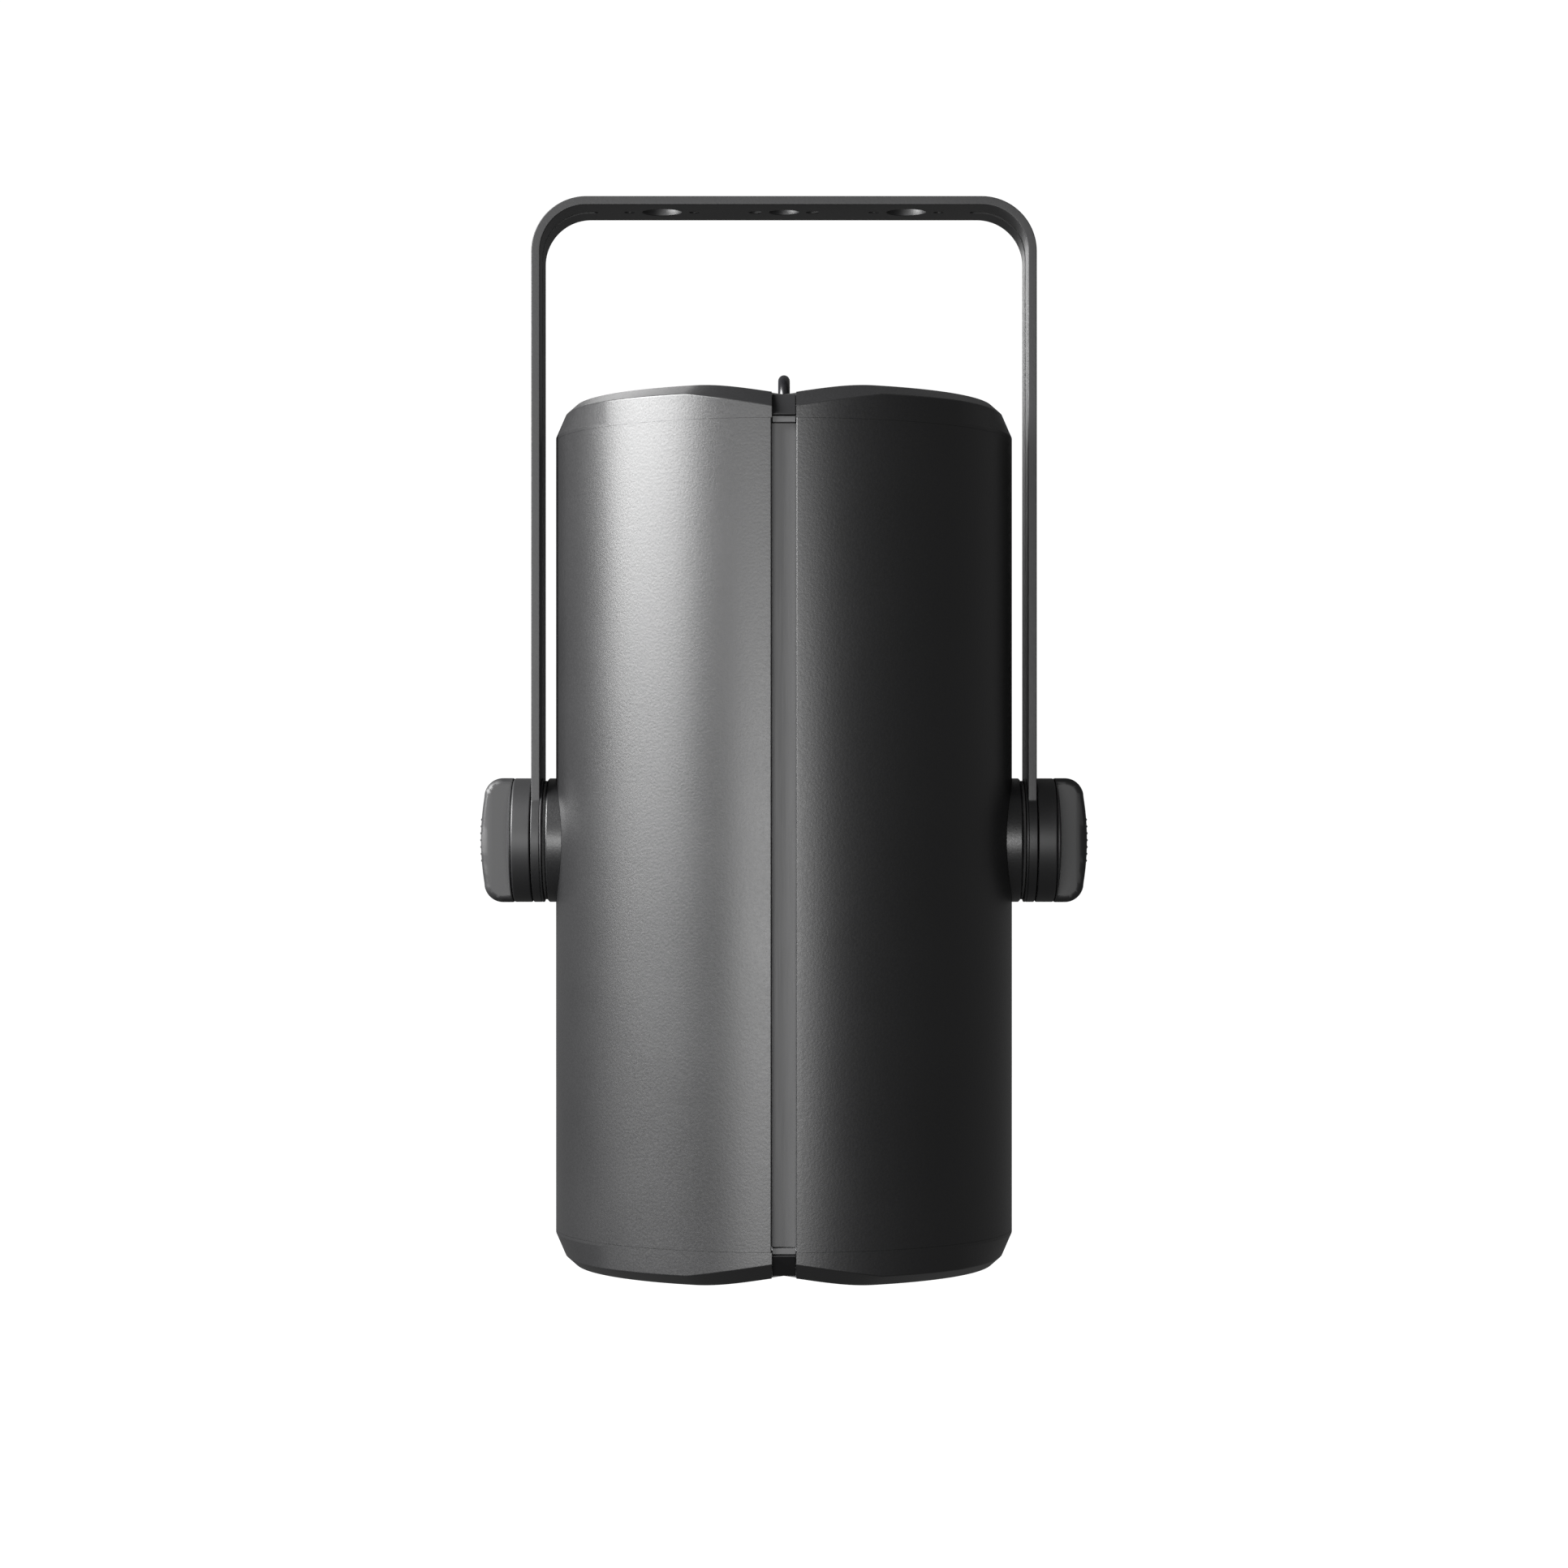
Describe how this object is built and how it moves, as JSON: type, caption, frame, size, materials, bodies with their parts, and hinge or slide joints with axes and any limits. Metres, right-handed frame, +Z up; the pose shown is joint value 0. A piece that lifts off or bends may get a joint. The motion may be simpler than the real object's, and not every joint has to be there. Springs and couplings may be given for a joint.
{
  "type": "yoke-mounted spotlight",
  "caption": "Cylindrical spotlight head in a bent strap yoke, tilted by hand and clamped with bar knobs, with slot strips, safety loop and round light mouth.",
  "frame": {"origin": "centre of the yoke's top face, on the axis of its centre bolt hole", "axes": "+Z up, along the hanging lamp's axis; +X along the tilt axis to the lamp's right as seen from its front slot; the front slot faces -Y"},
  "size_m": [0.2846, 0.2126, 0.4957],
  "materials": {
    "black_powder_coat": "satin",
    "black_strap_coat": "satin",
    "dark_strip": "satin",
    "black_plastic": "satin",
    "black_rubber": "matte",
    "zinc_steel": "satin",
    "black_gloss_rod": "gloss",
    "cast_aluminium": "satin",
    "brass": "satin",
    "bright_reflector": "polished",
    "white_board": "satin",
    "phosphor": "satin",
    "clear_glass": "clear"
  },
  "bodies": {
    "yoke": {"yoke": "black_strap_coat", "pivot_washer_left": "zinc_steel", "pivot_washer_right": "zinc_steel"},
    "knob_left": {"knob_collar_left": "black_plastic", "knob_grip_left": "black_plastic", "knob_insert_left": "brass"},
    "knob_right": {"knob_collar_right": "black_plastic", "knob_grip_right": "black_plastic", "knob_insert_right": "brass"},
    "head": {"shell_left": "black_powder_coat", "shell_right": "black_powder_coat", "top_cap": "black_powder_coat", "bottom_bezel": "black_powder_coat", "front_strip": "dark_strip", "rear_strip": "dark_strip", "front_upper_plug": "black_plastic", "front_lower_plug": "black_plastic", "rear_upper_plug": "black_plastic", "rear_lower_plug": "black_plastic", "top_ring": "zinc_steel", "bottom_ring": "zinc_steel", "top_gasket": "black_rubber", "glass_gasket": "black_rubber", "front_glass": "clear_glass", "glass_clamp": "zinc_steel", "reflector": "bright_reflector", "led_board": "white_board", "led_emitter": "phosphor", "bulkhead": "cast_aluminium", "heat_sink": "cast_aluminium", "driver_tray": "zinc_steel", "driver": "cast_aluminium", "control_board": "white_board", "terminal_block": "black_plastic", "led_lead": "black_rubber", "loop_base": "black_gloss_rod", "safety_loop": "black_gloss_rod", "power_inlet": "black_plastic", "inlet_core": "black_rubber", "pressure_vent": "black_plastic", "tie_rod_1": "zinc_steel", "cap_screw_1": "zinc_steel", "bezel_screw_1": "zinc_steel", "tie_rod_2": "zinc_steel", "cap_screw_2": "zinc_steel", "bezel_screw_2": "zinc_steel", "tie_rod_3": "zinc_steel", "cap_screw_3": "zinc_steel", "bezel_screw_3": "zinc_steel", "tie_rod_4": "zinc_steel", "cap_screw_4": "zinc_steel", "bezel_screw_4": "zinc_steel", "pivot_anchor_left": "cast_aluminium", "pivot_boss_left": "black_powder_coat", "friction_pad_left": "black_rubber", "clamp_stud_left": "zinc_steel", "pivot_anchor_right": "cast_aluminium", "pivot_boss_right": "black_powder_coat", "friction_pad_right": "black_rubber", "clamp_stud_right": "zinc_steel"}
  },
  "joints": [
    {"name": "head_tilt", "type": "hinge", "parent": "yoke", "child": "head", "pos_m": [0, 0, -0.298], "axis": [1, 0, 0], "range_deg": [-135, 135]},
    {"name": "knob_left_turn", "type": "hinge", "parent": "head", "child": "knob_left", "pos_m": [-0.118, 0, -0.298], "axis": [-1, 0, 0], "range_deg": [0, 360]},
    {"name": "knob_right_turn", "type": "hinge", "parent": "head", "child": "knob_right", "pos_m": [0.118, 0, -0.298], "axis": [1, 0, 0], "range_deg": [0, 360]}
  ]
}
